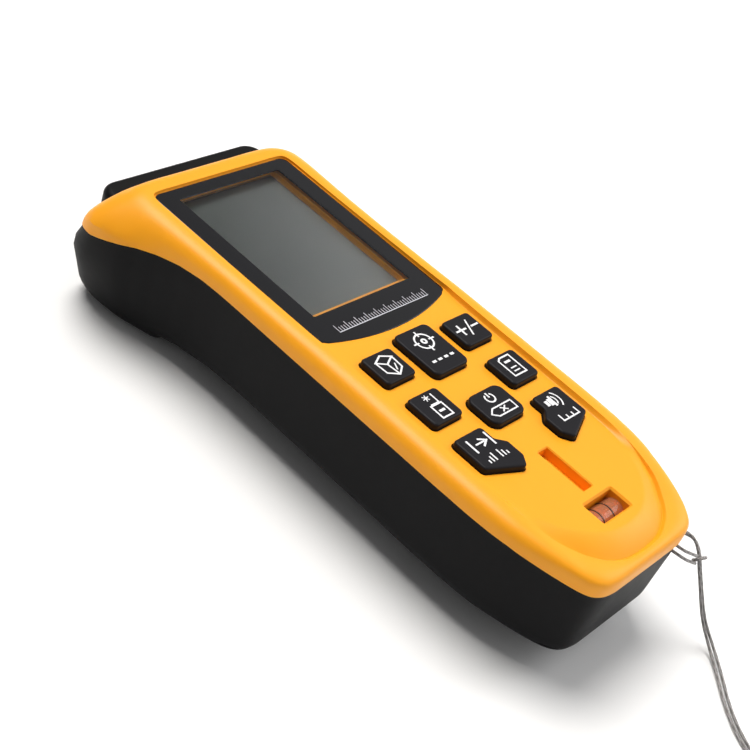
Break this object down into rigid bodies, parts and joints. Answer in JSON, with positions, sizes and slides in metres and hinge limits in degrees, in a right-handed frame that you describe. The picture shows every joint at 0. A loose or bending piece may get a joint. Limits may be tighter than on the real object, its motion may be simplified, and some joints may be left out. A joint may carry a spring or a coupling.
{
  "type": "laser distance meter",
  "caption": "Pocket laser distance meter with a display window, raised keys, a bubble level, a wrist lanyard and a sliding battery door in a flared, rounded body.",
  "frame": {"origin": "under the middle of the instrument, on the surface it lies on, lanyard left out", "axes": "+Y towards the laser end, +Z out of the keypad face, +X to the user's right"},
  "size_m": [0.0516, 0.157, 0.0258],
  "materials": {
    "yellow_plastic": "satin",
    "black_plastic": "matte, fine grained",
    "display_glass": "polished, tinted",
    "lcd": "satin",
    "white_plastic": "matte",
    "key_rubber": "soft matte",
    "spring_steel": "bright",
    "board_green": "satin",
    "component_grey": "satin",
    "clear_glass": "polished",
    "level_liquid": "clear",
    "cell_jacket": "gloss",
    "chassis_plastic": "matte",
    "laser_brass": "satin",
    "optic_glass": "polished, coated",
    "screw_steel": "satin",
    "lanyard_cord": "braided"
  },
  "bodies": {
    "housing": {"front_cover": "yellow_plastic", "rear_cover": "black_plastic", "front_bezel": "black_plastic", "display_lens": "display_glass", "lcd_panel": "lcd", "lcd_backlight": "white_plastic", "keypad_mat": "key_rubber", "dome_switches": "spring_steel", "main_board": "board_green", "board_parts": "component_grey", "buzzer": "component_grey", "bubble_vial": "clear_glass", "vial_liquid": "level_liquid", "vial_cradle": "white_plastic", "battery_tray": "black_plastic", "battery_cell_left": "cell_jacket", "battery_cell_right": "cell_jacket", "contact_springs": "spring_steel", "contact_plates": "spring_steel", "optics_block": "chassis_plastic", "receiver_lens": "clear_glass", "receiver_board": "board_green", "laser_module": "laser_brass", "receiver_window": "optic_glass", "laser_window": "optic_glass", "case_screws": "screw_steel", "lanyard_strand_a": "lanyard_cord", "lanyard_strand_b": "lanyard_cord", "lanyard_hitch": "lanyard_cord", "lanyard_coil": "lanyard_cord", "lanyard_knot": "lanyard_cord"},
    "battery_door": {"battery_door": "black_plastic"},
    "key_read": {"key_read": "key_rubber"},
    "key_clear": {"key_clear": "key_rubber"},
    "key_plus_minus": {"key_plus_minus": "key_rubber"},
    "key_memory": {"key_memory": "key_rubber"},
    "key_unit": {"key_unit": "key_rubber"},
    "key_area": {"key_area": "key_rubber"},
    "key_reference": {"key_reference": "key_rubber"},
    "key_max_min": {"key_max_min": "key_rubber"}
  },
  "joints": [
    {"name": "battery_door_slide", "type": "slide", "parent": "housing", "child": "battery_door", "axis": [0, -1, 0], "range_m": [0, 0.008]},
    {"name": "key_read_press", "type": "slide", "parent": "housing", "child": "key_read", "axis": [0, 0, -1], "range_m": [0, 0.0007], "stiffness_N_per_m": 1800, "springref_m": -0.0002},
    {"name": "key_clear_press", "type": "slide", "parent": "housing", "child": "key_clear", "axis": [0, 0, -1], "range_m": [0, 0.0007], "stiffness_N_per_m": 1800, "springref_m": -0.0002},
    {"name": "key_plus_minus_press", "type": "slide", "parent": "housing", "child": "key_plus_minus", "axis": [0, 0, -1], "range_m": [0, 0.0007], "stiffness_N_per_m": 1800, "springref_m": -0.0002},
    {"name": "key_memory_press", "type": "slide", "parent": "housing", "child": "key_memory", "axis": [0, 0, -1], "range_m": [0, 0.0007], "stiffness_N_per_m": 1800, "springref_m": -0.0002},
    {"name": "key_unit_press", "type": "slide", "parent": "housing", "child": "key_unit", "axis": [0, 0, -1], "range_m": [0, 0.0007], "stiffness_N_per_m": 1800, "springref_m": -0.0002},
    {"name": "key_area_press", "type": "slide", "parent": "housing", "child": "key_area", "axis": [0, 0, -1], "range_m": [0, 0.0007], "stiffness_N_per_m": 1800, "springref_m": -0.0002},
    {"name": "key_reference_press", "type": "slide", "parent": "housing", "child": "key_reference", "axis": [0, 0, -1], "range_m": [0, 0.0007], "stiffness_N_per_m": 1800, "springref_m": -0.0002},
    {"name": "key_max_min_press", "type": "slide", "parent": "housing", "child": "key_max_min", "axis": [0, 0, -1], "range_m": [0, 0.0007], "stiffness_N_per_m": 1800, "springref_m": -0.0002}
  ]
}
